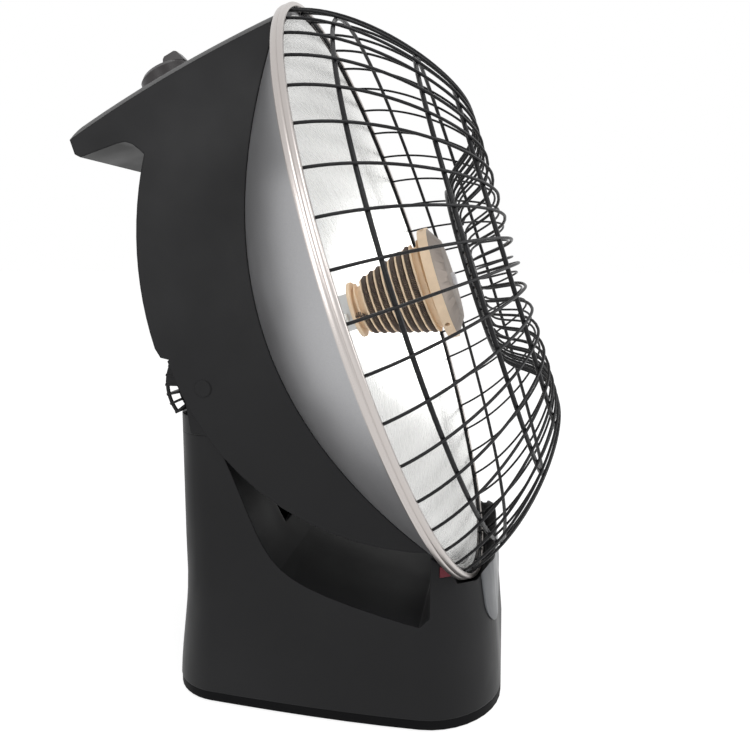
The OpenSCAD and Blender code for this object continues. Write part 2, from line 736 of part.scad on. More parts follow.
// How much the sides lean outwards below the neck's top
side_lean = 0.018;
foot_flare = foot_rear_w - neck_w - side_lean * neck_top;
function half_w(z) = neck_w + side_lean * max(neck_top - z, 0) + foot_flare * flare(z);
function front_y(z) = -foot_front + 0.085 * z;
function rear_y(z) = neck_rear + (foot_rear - neck_rear) * (1 - ease(z / 80));
function front_w(z) = block_w + (foot_w - block_w) * flare(z);
function front_corner(z) = block_corner + (foot_corner - block_corner) * flare(z);
function rear_corner(z) = neck_corner + (foot_rear_corner - neck_corner) * flare(z);
corner_n = 10;
side_n = 6;

// Outline of the base at a height, as [X, Y] points, drawn in by t
function outline(z, t) =
  let (w = half_w(z) - t, f = front_y(z) + t, b = rear_y(z) - t, bow = foot_bow * flare(z))
  let (r = front_corner(z) - t, s = rear_corner(z) - t)
  let (right = concat(
    [for (i = [0:corner_n]) let (q = -90 + 90 * i / corner_n) [w - r + r * cos(q), f + r + r * sin(q)]],
    [for (i = [1:side_n - 1]) [w, f + r + (b - f - r - s) * i / side_n]],
    [for (i = [0:corner_n]) let (q = 90 * i / corner_n) [w - s + s * cos(q), b - s + s * sin(q)]]
  ))
  let (all = concat(right, [for (p = reversed(right)) [-p[0], p[1]]]))
  [for (p = all)
    let (widen = 1 + ((front_w(z) - t) / w - 1) * ease((b - p[1]) / (b - f)))
    [p[0] * (widen - bow / w * pow((p[1] - (f + b) / 2) / ((b - f) / 2), 2)), p[1]]];

// Solid through the outlines at the given heights
module loft(heights, t) {
  rings = [for (z = heights) outline(z, t)];
  n = len(rings[0]);
  top = (len(heights) - 1) * n;
  points = [for (i = [0:len(heights) - 1], p = rings[i]) [p[0], p[1], heights[i]]];
  skin = [for (i = [0:len(heights) - 2], k = [0:n - 1])
    let (m = (k + 1) % n, p = i * n, q = p + n) each [[p + k, q + m, p + m], [p + k, q + k, q + m]]];
  polyhedron(points, concat([[for (k = [0:n - 1]) k]], [[for (k = [n - 1:-1:0]) top + k]], skin));
}

shell_low = pad_out + plate_h;
shell_heights = [shell_low, 16, 25, 35, 45, 55, 65, 76, 88, 100, 112, seam_h];
hollow_curve = [
  [pivot_back + 3, pivot_h - 15], [pivot_back - 45, pivot_h - 110],
  [-block_back + 117, hollow_low + 24], [-block_back + 5.5, hollow_low]
];

// The hollow under the head, seen from the side and grown by g; it is cut right through the base
module hollow_side(g = 0) {
  curve = [for (i = [0:14]) bezier(hollow_curve, i / 14)];
  offset(delta = g) polygon(concat(
    [[pivot_back + 3, 400]], curve,
    [[-block_back, hollow_low + 5], [-block_back, block_top], [-foot_front, block_front_top]],
    [[-400, block_front_top], [-400, 400]]
  ));
}

// Rear edge of the trim ring where it passes the block's side
ring_side_u = sqrt(pow(trim_r, 2) - pow(block_w, 2)) - rim_above;
ring_side_a = rim_ahead - trim_back;
lens_z = pivot_h + ring_side_a * sin(head_tilt) - ring_side_u * cos(head_tilt) + lens_over_ring;
lens_fwd = ring_side_a * cos(head_tilt) + ring_side_u * sin(head_tilt) - pivot_back - lens_behind_ring;

// Room kept for the dish, the trim ring and the guard, grown by g
module dish_room(g) {
  on_axis() rotate_extrude($fn = 96) polygon(concat(
    [for (r = [0, 60, 100, 125, 145, 160, 170, bowl_r - 1]) [r, bowl_a(r, -g)]],
    [[trim_r + g, -trim_back - g], [trim_r + g, trim_front + g]],
    [for (t = [0.1:0.1:0.9]) let (p = bezier(dome, t)) [p[1] + wire_r + g, p[0] + g / 2]],
    [[0, guard_depth + g]]
  ));
}

boss_r = 5;
// The bosses grow out of the corners of the shell
function boss_in(r) = r - (r - base_wall - boss_r + 1.5) * cos(45);
rear_in = boss_in(foot_rear_corner);
front_in = boss_in(foot_corner);
screw_places = [
  [foot_rear_w - foot_bow - rear_in, foot_rear - rear_in], [foot_w - foot_bow - front_in, front_in - foot_front]
];

module screw_spots() {
  for (p = screw_places, side = [-1, 1]) translate([side * p[0], p[1], 0]) children();
}

inlet_wall_y = rear_y(inlet_z) + 1.4;

module base_shell() {
  inner_heights = concat([shell_low - 1], [for (i = [1:len(shell_heights) - 1]) shell_heights[i]], [seam_h + 1]);
  boss_h = 16;
  color([0.15, 0.15, 0.16]) difference() {
    union() {
      difference() {
        loft(shell_heights, 0);
        difference() {
          loft(inner_heights, base_wall);
          across(big) hollow_side(base_wall);
          dish_room(dish_gap + base_wall);
          translate([0, 0, shell_low]) screw_spots() cylinder(h = boss_h, r = boss_r, $fn = 32);
        }
        across(big) hollow_side();
        dish_room(dish_gap);
      }
      translate([0, inlet_wall_y - 6, inlet_z]) rotate([-90, 0, 0]) cylinder(h = 6, r = 11, $fn = 48);
    }
    translate([0, 0, shell_low - 1]) screw_spots() cylinder(h = boss_h - 2, r = screw_r, $fn = 24);
    translate([0, inlet_wall_y - 20, inlet_z]) rotate([-90, 0, 0]) cylinder(h = 40, r = inlet_r + 3, $fn = 48);
    translate([-window_w, -10, window_low]) cube([2 * window_w, neck_rear - 2, 60]);
    lens_pocket(0.1);
  }
}

module lens_pocket(g) {
  translate([-big / 2 - 60, -lens_fwd - lens_w / 2 - g, lens_z - lens_h / 2 - g])
    cube([big / 2, lens_w + 2 * g, lens_h + 2 * g]);
}

module indicator_lens() {
  color([0.75, 0.08, 0.1]) intersection() {
    lens_pocket(0);
    difference() {
      loft([lens_z - 12, lens_z, lens_z + 12], -0.4);
      loft([lens_z - 13, lens_z, lens_z + 13], base_wall + 0.6);
      dish_room(dish_gap);
    }
  }
}

module indicator_lamp() {
  x = base_wall + 7 - block_w;
  color([0.9, 0.55, 0.4]) translate([x, -lens_fwd, lens_z - 8]) rotate([0, 90, 0]) cylinder(h = 5, r = 1.5, $fn = 24);
}

plate_heights = [45, 55, 65, 76, 88, 100];

module front_plate() {
  color([0.75, 0.75, 0.76]) difference() {
    intersection() {
      loft(plate_heights, -front_plate_t - 0.05);
      rotate([90, 0, 0]) linear_extrude(big) polygon(concat(
        [[front_plate_w, front_plate_high], [-front_plate_w, front_plate_high]],
        arc(front_plate_corner - front_plate_w, front_plate_low + front_plate_corner, front_plate_corner, 180, 270, 8),
        arc(front_plate_w - front_plate_corner, front_plate_low + front_plate_corner, front_plate_corner, 270, 360, 8)
      ));
    }
    loft(concat([plate_heights[0] - 1], plate_heights), -0.05);
    dish_room(dish_gap);
    across(big) hollow_side();
  }
}

module base_plate() {
  color([0.1, 0.1, 0.11]) difference() {
    translate([0, 0, pad_out]) linear_extrude(plate_h) polygon(outline(pad_out, plate_inset));
    translate([0, 0, pad_out + plate_t]) linear_extrude(plate_h) polygon(outline(pad_out, plate_inset + base_wall));
    pad_spots() translate([0, 0, -1]) cylinder(h = 1 + pad_out + 1, r = pad_r, $fn = 48);
    screw_spots() cylinder(h = 40, r = screw_r + 0.2, $fn = 24);
    screw_spots() translate([0, 0, pad_out - 1]) cylinder(h = 2.2, r = screw_head_r + 0.2, $fn = 32);
    translate(switch_at) cylinder(h = 20, r = plunger_r + 0.3, center = true, $fn = 48);
  }
}

module pad_spots() {
  for (side = [-1, 1], y = [foot_rear - 47, 47 - foot_front]) translate([side * (foot_w - 24), y, 0]) children();
}

module rubber_feet() {
  color([0.07, 0.07, 0.07]) pad_spots() cylinder(h = pad_out + 1, r = pad_r, $fn = 48);
}

module base_screws() {
  color([0.5, 0.5, 0.52]) screw_spots() union() {
    translate([0, 0, pad_out + 0.1]) cylinder(h = 1.1, r = screw_head_r, $fn = 32);
    translate([0, 0, pad_out + 0.1]) cylinder(h = 14, r = screw_r, $fn = 24);
  }
}

cap_floor = 2;

// Top of the neck: a closed rim on the shell and an ear at each end round the tilt axis
module neck_cap() {
  color([0.15, 0.15, 0.16]) difference() {
    union() {
      difference() {
        loft([seam_h, neck_top], 0);
        loft([seam_h + cap_floor, neck_top + 1], 3);
        across(big) hollow_side();
      }
      both_sides() translate([neck_w - ear_t / 2, 0, 0]) across(ear_t / 2) union() {
        translate([pivot_back, pivot_h]) circle(ear_r, $fn = 96);
        polygon([
          [pivot_back - 1, seam_h + 1], [pivot_back + 11, seam_h + 1],
          [pivot_back + ear_r, pivot_h], [pivot_back - ear_r, pivot_h]
        ]);
      }
    }
    at_pivot() rotate([0, 90, 0]) cylinder(h = big, r = pin_r + pin_play, center = true, $fn = 48);
    translate([-neck_w + 14, pivot_back, seam_h - 1]) cube([2 * neck_w - 28, 12, cap_floor + 2]);
  }
}

louvre_low = -37;
louvre_high = 36;
rib_n = 5;

// Part of an end plate: it joins the slats' ends from one angle to another, depth deep
module end_arc(from, to, depth) {
  rotate([0, 90, 0]) rotate([0, 0, 90 + from])
    rotate_extrude(angle = to - from) translate([louvre_r - 0.3 - depth, 0]) square([depth, slat_t]);
}

// Slats behind the tilt axis, on ribs whose feet stand on the cap's floor
module neck_louvre() {
  inner_w = neck_w - ear_t - 0.5;
  rib_reach = inner_w - 10;
  rib_overrun = 3;
  foot_h = pivot_h - 14 - seam_h - cap_floor;
  color([0.12, 0.12, 0.13]) at_pivot() union() {
    for (i = [0:slat_n - 1]) rotate([louvre_low + (louvre_high - louvre_low) * i / (slat_n - 1), 0, 0])
      translate([-inner_w, louvre_r - slat_d, -slat_t / 2]) cube([2 * inner_w, slat_d, slat_t]);
    for (side = [-1, 1]) translate([side * (inner_w - 0.3 - slat_t / 2) - slat_t / 2, 0, 0]) {
      end_arc(-0.5, louvre_high + rib_overrun, slat_d - 1);
      end_arc(louvre_low, -1, 1.8);
    }
    for (i = [0:rib_n - 1]) translate([-rib_reach + 2 * rib_reach * i / (rib_n - 1) - slat_t / 2, 0, 0]) {
      rotate([0, 90, 0]) rotate([0, 0, 90 - 52])
        rotate_extrude(angle = 52 + louvre_high + rib_overrun) translate([louvre_r - slat_d + 1.5, 0]) square([3, slat_t]);
      translate([0, 14, -14 - foot_h]) cube([slat_t, 4.5, foot_h]);
    }
  }
}

module cord_inlet() {
  color([0.08, 0.08, 0.08]) translate([0, inlet_wall_y, inlet_z]) rotate([-90, 0, 0]) difference() {
    union() {
      cylinder(h = 2.5, r = inlet_r + 5.4, $fn = 48);
      translate([0, 0, -10]) cylinder(h = 12, r = inlet_r + 3, $fn = 48);
    }
    translate([0, 0, -11]) cylinder(h = 20, r = inlet_r, $fn = 48);
  }
}

plate_top = pad_out + plate_t;

module terminal_block() {
  color([0.9, 0.9, 0.88]) difference() {
    translate([-50, 19, plate_top]) cube([44, 16, 14]);
    for (i = [0:2]) translate([-43 + 15 * i, 27, plate_top + 6]) cylinder(h = 20, r = 2.5, $fn = 24);
  }
}

// ---- tip-over switch ----
switch_at = [34, 19, 0];
collar_r = plunger_r + 2;
collar_low = plate_top + plunger_travel;
collar_h = 2;
stem_r = 3;
body_low = collar_low + collar_h + plunger_travel;
body_h = 20;

module tip_plunger() {
  color([0.85, 0.85, 0.83]) translate(switch_at) union() {
    cylinder(h = collar_low + 1, r = plunger_r, $fn = 48);
    translate([0, 0, collar_low]) cylinder(h = collar_h, r = collar_r, $fn = 48);
    translate([0, 0, collar_low + 1]) cylinder(h = collar_h + plunger_travel + 12, r = stem_r, $fn = 48);
  }
}

module tip_spring() {
  color([0.7, 0.7, 0.72]) translate([switch_at[0], switch_at[1], collar_low + collar_h]) difference() {
    cylinder(h = plunger_travel, r = stem_r + 2.2, $fn = 32);
    translate([0, 0, -1]) cylinder(h = plunger_travel + 2, r = stem_r + 0.6, $fn = 32);
  }
}

module tip_switch() {
  leg_x = collar_r + 2;
  color([0.2, 0.22, 0.25]) translate(switch_at) difference() {
    union() {
      translate([-leg_x - 4, -8, body_low]) cube([2 * leg_x + 8, 16, body_h]);
      for (side = [-1, 1]) translate([side * (leg_x + 2) - 2, -8, plate_top]) cube([4, 16, body_low - plate_top + 1]);
    }
    translate([0, 0, body_low - 1]) cylinder(h = 16, r = stem_r + 0.06, $fn = 48);
  }
}

base_shell();
base_plate();
rubber_feet();
base_screws();
neck_cap();
neck_louvre();
front_plate();
indicator_lens();
indicator_lamp();
cord_inlet();
terminal_block();
tip_switch();
tip_spring();
tip_plunger();
pivot_pins();
pivot_washers();
housing();
cross_bar();
dish_bowl();
dish_spacer();
dish_screws();
reflector();
trim_ring();
guard_wires();
guard_rim_wire();
guard_ring_outer();
guard_ring_middle();
guard_ring_inner();
guard_ring_dimple();
guard_ring_hub();
element_bracket();
element_former();
heating_coil();
element_cap();
element_disc();
element_bolt();
terminal_tubes();
control_switch();
control_shaft();
knob();
knob_mark();
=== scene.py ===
"""Looks of the parabolic dish heater: finishes, the wire guard, the wound element and soft edges.

Places are in metres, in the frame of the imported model: +Z up, and the dish looks along -Y. The
shapes of the dish, the guard and the element are written in mm, in the frame of the dish axis.
"""
import json
import math

import bmesh
import bpy
from mathutils import Matrix, Vector

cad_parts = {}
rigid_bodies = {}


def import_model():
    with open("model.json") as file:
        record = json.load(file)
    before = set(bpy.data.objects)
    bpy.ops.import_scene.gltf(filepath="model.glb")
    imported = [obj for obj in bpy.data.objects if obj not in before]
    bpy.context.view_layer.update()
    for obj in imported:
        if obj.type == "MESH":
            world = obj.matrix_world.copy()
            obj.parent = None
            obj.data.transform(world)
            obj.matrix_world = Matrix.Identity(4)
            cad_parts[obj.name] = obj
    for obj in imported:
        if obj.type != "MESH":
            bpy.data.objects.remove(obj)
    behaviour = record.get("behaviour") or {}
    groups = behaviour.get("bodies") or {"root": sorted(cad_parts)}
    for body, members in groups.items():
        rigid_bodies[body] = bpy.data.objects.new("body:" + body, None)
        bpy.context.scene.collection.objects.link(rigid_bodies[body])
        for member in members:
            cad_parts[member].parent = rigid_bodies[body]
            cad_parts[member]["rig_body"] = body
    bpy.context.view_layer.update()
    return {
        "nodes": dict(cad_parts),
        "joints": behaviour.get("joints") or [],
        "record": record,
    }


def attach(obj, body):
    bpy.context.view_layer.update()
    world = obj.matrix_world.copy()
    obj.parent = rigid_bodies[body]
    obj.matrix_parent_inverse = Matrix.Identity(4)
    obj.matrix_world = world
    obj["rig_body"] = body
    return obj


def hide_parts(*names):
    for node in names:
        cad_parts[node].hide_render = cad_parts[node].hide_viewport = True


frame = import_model()
SLOTS = {part["node"]: part["material_slot"] for part in frame["record"]["subparts"]}
MM = 0.001
TURN = 2 * math.pi

# ---- the dish axis ----
HEAD_TILT = math.radians(18)
RIM_AHEAD = 110 * MM
RIM_ABOVE = 16 * MM
PIVOT = Vector(next(j for j in frame["joints"] if j["name"] == "head_tilt")["pos_m"])

# Head frame: -Y runs forward along the dish axis, +Z is square to it, the origin is mid-rim
HEAD = (
    Matrix.Translation(PIVOT)
    @ Matrix.Rotation(-HEAD_TILT, 4, "X")
    @ Matrix.Translation((0, -RIM_AHEAD, RIM_ABOVE))
)
# Axis frame: +Z runs forward along the dish axis
AXIS = HEAD @ Matrix.Rotation(math.pi / 2, 4, "X")

# ---- camera, lights, floor ----
CAMERA_PLACE = Vector((-479.7, -106.15, 264.6)) * MM
CAMERA_LOOK = Vector((0.974, 0.171, -0.151))
# Focal length and sensor width in mm, near clip in m
LENS, SENSOR, NEAR_CLIP = 35.2, 36, 0.02

WHITE = (1, 1, 1, 1)
WORLD_STRENGTH = 0.55
FLOOR_SIZE = 40
FLOOR_COLOUR, FLOOR_ROUGHNESS = (0.9, 0.9, 0.9, 1), 0.8
# The floor as the camera sees it: a glow, and a thin diffuse layer that takes the shadow
FLOOR_GLOW, FLOOR_LAYER = 0.8, (0.4, 0.4, 0.4, 1)

# Name, place, target, width and height, power in W
LAMPS = (
    ("key", (-1.1, -1.0, 1.7), (0, 0, 0.2), (1.2, 1.2), 16),
    ("side", (-1.6, 0.7, 0.7), (0, 0, 0.2), (0.8, 1.2), 9),
    ("front", (0.4, -1.9, 0.9), (0, 0, 0.22), (1.4, 1.0), 12),
)


def new_object(name, data):
    made = bpy.data.objects.new(name, data)
    bpy.context.scene.collection.objects.link(made)
    return made


def aim(holder, place, direction):
    holder.location = place
    holder.rotation_euler = direction.to_track_quat("-Z", "Y").to_euler()


def make_camera():
    camera = bpy.data.cameras.new("photo_camera")
    camera.sensor_width = SENSOR
    camera.lens = LENS
    camera.clip_start = NEAR_CLIP
    holder = new_object("photo_camera", camera)
    aim(holder, CAMERA_PLACE, CAMERA_LOOK)
    bpy.context.scene.camera = holder


def area_light(name, place, target, size, power):
    lamp = bpy.data.lights.new(name, "AREA")
    lamp.shape = "RECTANGLE"
    lamp.size, lamp.size_y = size
    lamp.energy = power
    aim(new_object(name, lamp), place, Vector(target) - Vector(place))


def show_white_to_rays(nodes, links, lit, white, surface):
    """Camera, glossy and transmission rays see the white shader, and all others the lit one."""
    path = nodes.new("ShaderNodeLightPath")
    seen = path.outputs["Is Camera Ray"]
    for kind in ("Is Glossy Ray", "Is Transmission Ray"):
        either = nodes.new("ShaderNodeMath")
        either.operation = "MAXIMUM"
        links.new(seen, either.inputs[0])
        links.new(path.outputs[kind], either.inputs[1])
        seen = either.outputs[0]
    mix = nodes.new("ShaderNodeMixShader")
    links.new(seen, mix.inputs["Fac"])
    links.new(lit.outputs[0], mix.inputs[1])
    links.new(white.outputs[0], mix.inputs[2])
    links.new(mix.outputs[0], surface)


def background(nodes, strength):
    node = nodes.new("ShaderNodeBackground")
    node.inputs["Color"].default_value = WHITE
    node.inputs["Strength"].default_value = strength
    return node


def make_world():
    world = bpy.data.worlds.new("studio")
    bpy.context.scene.world = world
    world.use_nodes = True
    nodes, links = world.node_tree.nodes, world.node_tree.links
    nodes.clear()
    out = nodes.new("ShaderNodeOutputWorld")
    lit, white = background(nodes, WORLD_STRENGTH), background(nodes, 1.0)
    show_white_to_rays(nodes, links, lit, white, out.inputs["Surface"])


def make_floor():
    bpy.ops.mesh.primitive_plane_add(size=FLOOR_SIZE, location=(0, 0, 0))
    floor = bpy.context.object
    floor.name = "floor"
    mat = bpy.data.materials.new("floor")
    mat.use_nodes = True
    nodes, links = mat.node_tree.nodes, mat.node_tree.links
    shader = nodes["Principled BSDF"]
    shader.inputs["Base Color"].default_value = FLOOR_COLOUR
    shader.inputs["Roughness"].default_value = FLOOR_ROUGHNESS
    glow = nodes.new("ShaderNodeEmission")
    glow.inputs["Strength"].default_value = FLOOR_GLOW
    layer = nodes.new("ShaderNodeBsdfDiffuse")
    layer.inputs["Color"].default_value = FLOOR_LAYER
    both = nodes.new("ShaderNodeAddShader")
    links.new(glow.outputs[0], both.inputs[0])
    links.new(layer.outputs[0], both.inputs[1])
    show_white_to_rays(nodes, links, shader, both, nodes["Material Output"].inputs["Surface"])
    floor.data.materials.append(mat)


def make_stage():
    bpy.context.scene.view_settings.view_transform = "Standard"
    make_world()
    make_floor()
    for lamp in LAMPS:
        area_light(*lamp)


# ---- materials ----
class Finish:
    """A Principled material with a few procedural layers, in the object's own coordinates."""

    # The part of a noise's range over which the colour and the roughness change
    TINT_RANGE = 0.35, 0.65
    ROUGH_RANGE = 0.3, 0.7
    EDGE_SAMPLES = 6

    def __init__(self, name, colour, roughness, metallic=0.0):
        self.mat = bpy.data.materials.new(name)
        self.mat.use_nodes = True
        self.nodes = self.mat.node_tree.nodes
        self.links = self.mat.node_tree.links
        self.shader = self.nodes["Principled BSDF"]
        self.shader.inputs["Base Color"].default_value = (*colour, 1)
        self.shader.inputs["Roughness"].default_value = roughness
        self.shader.inputs["Metallic"].default_value = metallic
        self.colour = colour
        self.roughness = roughness
        self.normal = None
        self.place = self.nodes.new("ShaderNodeTexCoord").outputs["Object"]

    def specular(self, level):
        self.shader.inputs["Specular IOR Level"].default_value = level
        return self

    def math(self, operation, *values):
        node = self.nodes.new("ShaderNodeMath")
        node.operation = operation
        for socket, value in zip(node.inputs, values):
            if isinstance(value, (int, float)):
                socket.default_value = value
            else:
                self.links.new(value, socket)
        return node.outputs[0]

    def noise(self, scale, detail, rough=0.5, vector=None):
        node = self.nodes.new("ShaderNodeTexNoise")
        node.inputs["Scale"].default_value = scale
        node.inputs["Detail"].default_value = detail
        node.inputs["Roughness"].default_value = rough
        self.links.new(vector or self.place, node.inputs["Vector"])
        return node.outputs["Fac"]

    def tint(self, value, amount):
        """Colour varies by amount, down and up, with value."""
        node = self.nodes.new("ShaderNodeValToRGB")
        stops = zip(node.color_ramp.elements, self.TINT_RANGE, (1 - amount, 1 + amount))
        for element, place, factor in stops:
            element.position = place
            element.color = (*(min(c * factor, 1) for c in self.colour), 1)
        self.links.new(value, node.inputs["Fac"])
        self.links.new(node.outputs["Color"], self.shader.inputs["Base Color"])
        return self

    def rough(self, value, spread):
        """Roughness varies by spread, down and up, with value."""
        node = self.nodes.new("ShaderNodeMapRange")
        node.inputs["From Min"].default_value = self.ROUGH_RANGE[0]
        node.inputs["From Max"].default_value = self.ROUGH_RANGE[1]
        node.inputs["To Min"].default_value = self.roughness - spread
        node.inputs["To Max"].default_value = self.roughness + spread
        self.links.new(value, node.inputs["Value"])
        self.links.new(node.outputs["Result"], self.shader.inputs["Roughness"])
        return self

    def set_normal(self, normal):
        self.normal = normal
        self.links.new(normal, self.shader.inputs["Normal"])
        return self

    def edges(self, radius):
        """Shades the piece as if its edges were rounded by radius, in mm."""
        node = self.nodes.new("ShaderNodeBevel")
        node.samples = self.EDGE_SAMPLES
        node.inputs["Radius"].default_value = radius * MM
        return self.set_normal(node.outputs["Normal"])

    def bump(self, value, height, strength):
        """Relief of a height in metres, on top of the rounded edges where there are any."""
        node = self.nodes.new("ShaderNodeBump")
        node.inputs["Distance"].default_value = height
        node.inputs["Strength"].default_value = strength
        self.links.new(value, node.inputs["Height"])
        if self.normal:
            self.links.new(self.normal, node.inputs["Normal"])
        return self.set_normal(node.outputs["Normal"])

    def turned(self, fine):
        """A vector that varies only with the distance from and along the dish axis."""
        offset = self.nodes.new("ShaderNodeVectorMath")
        offset.operation = "SUBTRACT"
        offset.inputs[1].default_value = AXIS.translation
        self.links.new(self.place, offset.inputs[0])
        across, up, along = (
            self.component(offset.outputs[0], AXIS.col[i].to_3d()) for i in range(3)
        )
        squares = self.math("MULTIPLY", across, across), self.math("MULTIPLY", up, up)
        radius = self.math("SQRT", self.math("ADD", *squares))
        join = self.nodes.new("ShaderNodeCombineXYZ")
        self.links.new(self.math("MULTIPLY", radius, fine), join.inputs[0])
        self.links.new(self.math("MULTIPLY", along, fine), join.inputs[1])
        return join.outputs[0]

    def component(self, vector, direction):
        node = self.nodes.new("ShaderNodeVectorMath")
        node.operation = "DOT_PRODUCT"
        node.inputs[1].default_value = direction
        self.links.new(vector, node.inputs[0])
        return node.outputs["Value"]


def black_plastic():
    f = Finish("black_plastic", (0.0075, 0.0075, 0.0082), roughness=0.46)
    f.edges(1.3)
    f.tint(f.noise(scale=9, detail=3), amount=0.18)
    f.rough(f.noise(scale=22, detail=4), spread=0.07)
    f.bump(f.noise(scale=2600, detail=2), height=0.00006, strength=0.35)
    return f.specular(0.17)


def silver_paint():
    f = Finish("silver_paint", (0.39, 0.39, 0.4), roughness=0.36, metallic=0.85)
    f.tint(f.noise(scale=2400, detail=1), amount=0.08)
    f.rough(f.noise(scale=14, detail=3), spread=0.05)
    return f.bump(f.noise(scale=1700, detail=2), height=0.00002, strength=0.3)


def spun(name, colour, roughness, lines, height):
    """Sheet metal spun or rolled round the dish axis, with so many lines to the metre."""
    f = Finish(name, colour, roughness, metallic=1.0)
    turned = f.turned(lines)
    f.rough(f.noise(scale=1.0, detail=3, rough=0.7, vector=turned), spread=0.06)
    return f.bump(f.noise(scale=1.0, detail=2, rough=0.6, vector=turned), height, strength=0.5)


def gloss_black():
    f = Finish("gloss_black", (0.012, 0.012, 0.013), roughness=0.28)
    f.rough(f.noise(scale=300, detail=2), spread=0.08)
    f.bump(f.noise(scale=900, detail=2), height=0.00004, strength=0.4)
    return f.specular(0.16)


def ceramic(name, colour, roughness):
    f = Finish(name, colour, roughness)
    f.edges(0.4)
    f.tint(f.noise(scale=60, detail=5, rough=0.6), amount=0.07)
    f.rough(f.noise(scale=90, detail=3), spread=0.05)
    return f.bump(f.noise(scale=1300, detail=3), height=0.00006, strength=0.4)


def plain(name, colour, roughness, metallic=0.0, specular=0.5, grain=800, height=0.00003):
    f = Finish(name, colour, roughness, metallic)
    f.edges(0.4).specular(specular)
    f.tint(f.noise(scale=30, detail=4), amount=0.08)
    f.rough(f.noise(scale=45, detail=3), spread=0.06)
    return f.bump(f.noise(scale=grain, detail=2), height, strength=0.3)


def make_materials():
    """The finish of each of the record's material slots."""
    finishes = {
        "black_plastic": black_plastic(),
        "silver_paint": silver_paint(),
        "reflector_metal": spun("reflector_metal", (0.8, 0.8, 0.785), 0.26, 900, 0.00001),
        "trim_metal": spun("trim_metal", (0.5, 0.465, 0.445), 0.3, 2500, 0.00003),
        "black_wire": gloss_black(),
        "ceramic": ceramic("ceramic", (0.84, 0.65, 0.46), 0.6),
        "white_ceramic": ceramic("white_ceramic", (0.86, 0.86, 0.83), 0.3),
        "element_wire": plain("element_wire", (0.13, 0.1, 0.085), 0.55, metallic=0.6),
        "disc_metal": plain("disc_metal", (0.28, 0.24, 0.21), 0.5, metallic=0.5),
        "plated_steel": plain("plated_steel", (0.66, 0.66, 0.66), 0.32, metallic=1.0),
        "screw_steel": plain("screw_steel", (0.6, 0.6, 0.62), 0.3, metallic=1.0),
        "spring_steel": plain("spring_steel", (0.6, 0.6, 0.62), 0.25, metallic=1.0),
        "insulation": plain("insulation", (0.7, 0.66, 0.58), 0.85),
        "white_plastic": plain("white_plastic", (0.8, 0.79, 0.74), 0.4),
        "dark_plastic": plain("dark_plastic", (0.0035, 0.0035, 0.004), 0.6, specular=0.06),
        "knob_plastic": plain("knob_plastic", (0.026, 0.023, 0.024), 0.34, specular=0.3),
        "rubber": plain("rubber", (0.02, 0.02, 0.02), 0.8),
        "mark_paint": plain("mark_paint", (0.85, 0.85, 0.82), 0.5),
        "silver_plate": plain("silver_plate", (0.085, 0.088, 0.094), 0.38, metallic=0.8,
                              grain=2200, height=0.00008),
        "red_lens": plain("red_lens", (0.13, 0.012, 0.022), 0.3, specular=0.25),
        "lamp_glass": plain("lamp_glass", (0.9, 0.5, 0.35), 0.1),
    }
    return {slot: finish.mat for slot, finish in finishes.items()}


def dress_nodes():
    """Every CAD node gets the material of its record slot."""
    for name, node in frame["nodes"].items():
        node.data.materials.clear()
        node.data.materials.append(MATERIALS[SLOTS[name]])


# ---- mesh helpers ----
# Degrees above which an edge stays sharp: sheet metal, the former, CAD nodes, round wires
SHEET_SHARP, FORMER_SHARP, CAD_SHARP, WIRE_SHARP = 35, 60, 50, 80
# Sections of a tube's domed end: width and distance, as shares of the tube's radius
DOMED_END = ((0.92, 0.35), (0.62, 0.75))
# Rounded corners of a profile: the least turn, in radians, and the share of a side that one takes
ROUNDED_TURN, ROUNDED_SHARE = 0.3, 0.45
# Rounded edges of the CAD nodes: the least angle in degrees, and the steps across one
EDGE_ANGLE, EDGE_STEPS = 32, 3
# In a CAD mesh, points nearer than this (m) are one, and faces flatter than this (degrees) too
SAME_POINT, SAME_FACE = 2e-6, 0.4


def smooth_by_angle(mesh, degrees):
    bm = bmesh.new()
    bm.from_mesh(mesh)
    limit = math.radians(degrees)
    for face in bm.faces:
        face.smooth = True
    for edge in bm.edges:
        edge.smooth = len(edge.link_faces) == 2 and edge.calc_face_angle(0.0) < limit
    bm.to_mesh(mesh)
    bm.free()


def stand_for(node, mesh, sharp=SHEET_SHARP):
    """Puts a detailed piece in place of one CAD node, with its body and its material slot."""
    piece = new_object(node + "_detailed", mesh)
    smooth_by_angle(mesh, sharp)
    mesh.materials.clear()
    mesh.materials.append(MATERIALS[SLOTS[node]])
    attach(piece, frame["nodes"][node]["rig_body"])
    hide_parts(node)
    return piece


def stand_for_shape(node, shape, sharp=SHEET_SHARP):
    """The same for points in mm in the axis frame, and the faces between them."""
    verts, faces = shape
    mesh = bpy.data.meshes.new(node)
    mesh.from_pydata([AXIS @ (Vector(v) * MM) for v in verts], [], faces)
    mesh.validate()
    mesh.update()
    stand_for(node, mesh, sharp)


def joined(shapes):
    verts, faces = [], []
    for more_verts, more_faces in shapes:
        base = len(verts)
        verts += more_verts
        faces += [tuple(base + i for i in face) for face in more_faces]
    return verts, faces


def around(r, w, a):
    """The point at radius r, angle w and place a along the axis."""
    return Vector((r * math.cos(w), r * math.sin(w), a))


def circle(steps):
    return [TURN * i / steps for i in range(steps)]


def wall(rows, count, closed):
    """Quads between rows of count points; the last row joins the first one where closed."""
    faces = []
    for i in range(rows if closed else rows - 1):
        p, q = i * count, (i + 1) % rows * count
        for k in range(count):
            n = (k + 1) % count
            faces.append((p + k, p + n, q + n, q + k))
    return faces


def ends(rows, count):
    """The faces that close the first and the last row."""
    last = (rows - 1) * count
    return [tuple(range(count - 1, -1, -1)), tuple(range(last, last + count))]


